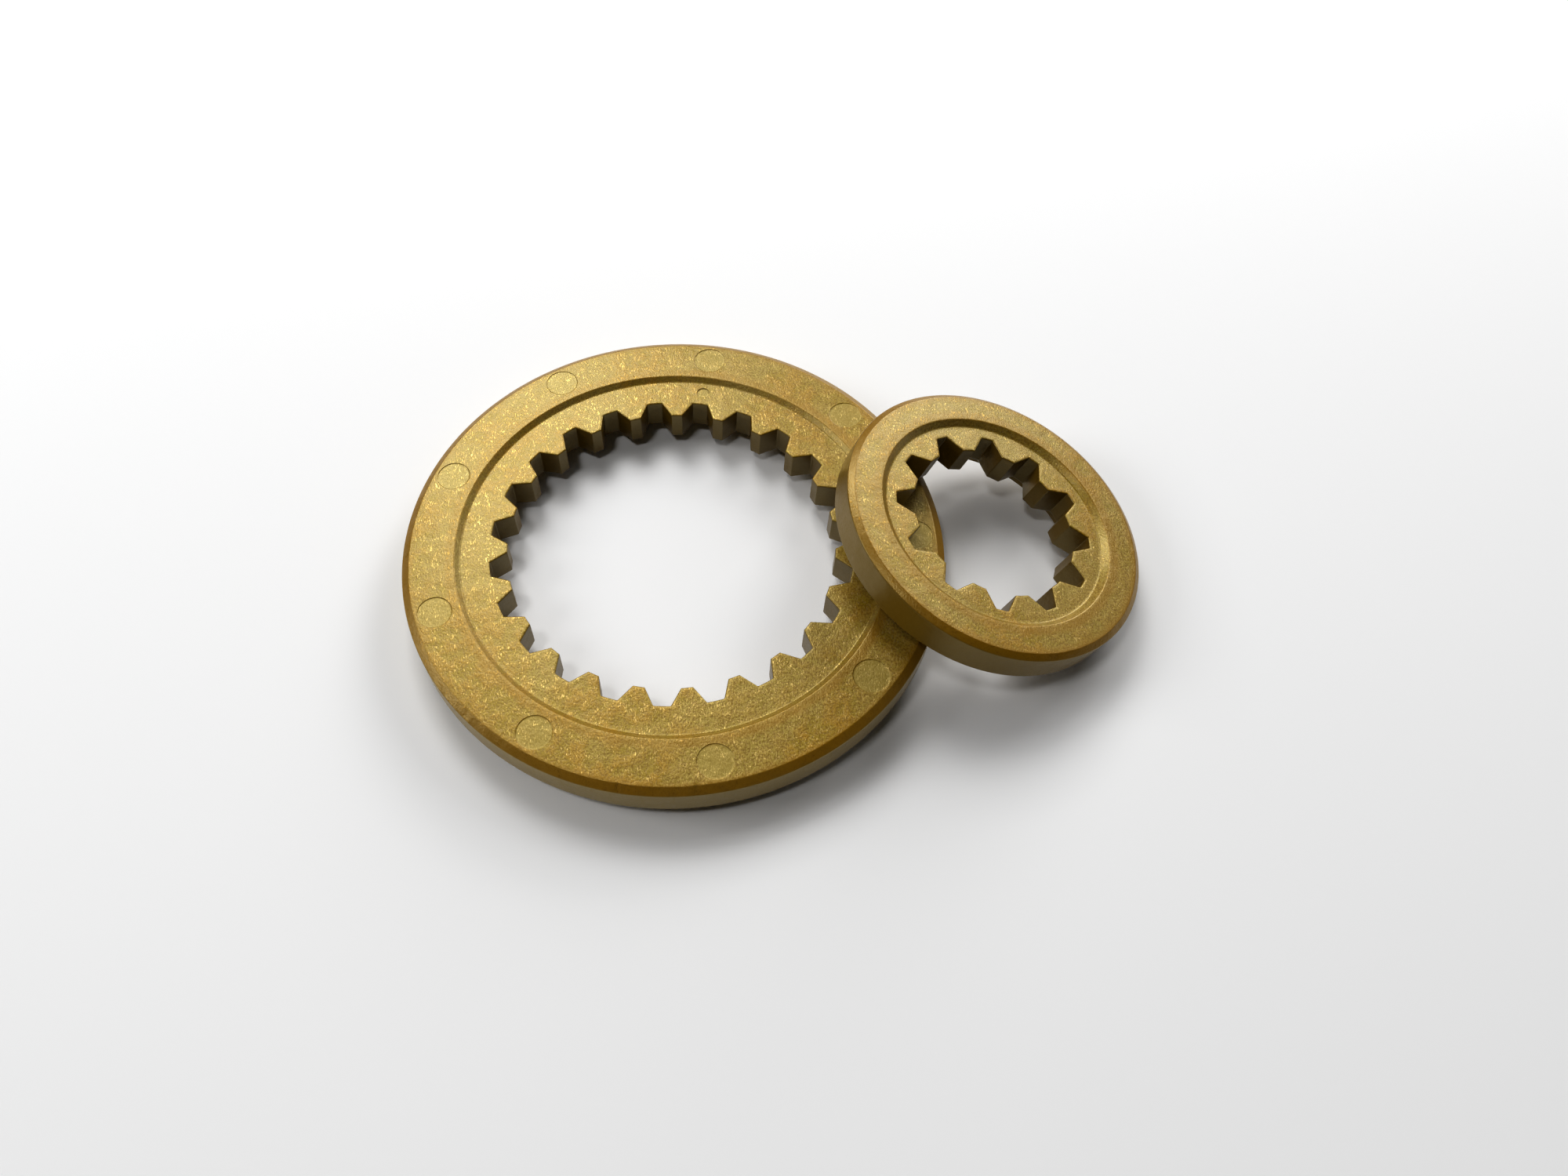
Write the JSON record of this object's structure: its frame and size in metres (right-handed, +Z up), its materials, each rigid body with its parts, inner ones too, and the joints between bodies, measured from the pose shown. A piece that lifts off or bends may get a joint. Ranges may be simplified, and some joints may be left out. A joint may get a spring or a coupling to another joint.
{
  "type": "splined ring pair",
  "caption": "Two loose moulded rings with internal splines: a large one lying flat and a smaller one leaning on its outer edge.",
  "frame": {"origin": "on the large ring's axis, level with the surface that both rings rest on", "axes": "+Z up along the large ring's axis, +X towards the side on which the small ring leans, +Y away from the viewer"},
  "size_m": [0.1028, 0.0762, 0.0177],
  "materials": {
    "moulding": "satin golden-brown moulded engineering plastic with fine bright flecks"
  },
  "bodies": {
    "large_ring": {"large_ring": "moulding"},
    "small_ring": {"small_ring": "moulding"}
  },
  "joints": [
    {"name": "small_ring_lift", "type": "slide", "parent": "large_ring", "child": "small_ring", "axis": [0, 0, 1], "range_m": [0, 0.04]}
  ]
}
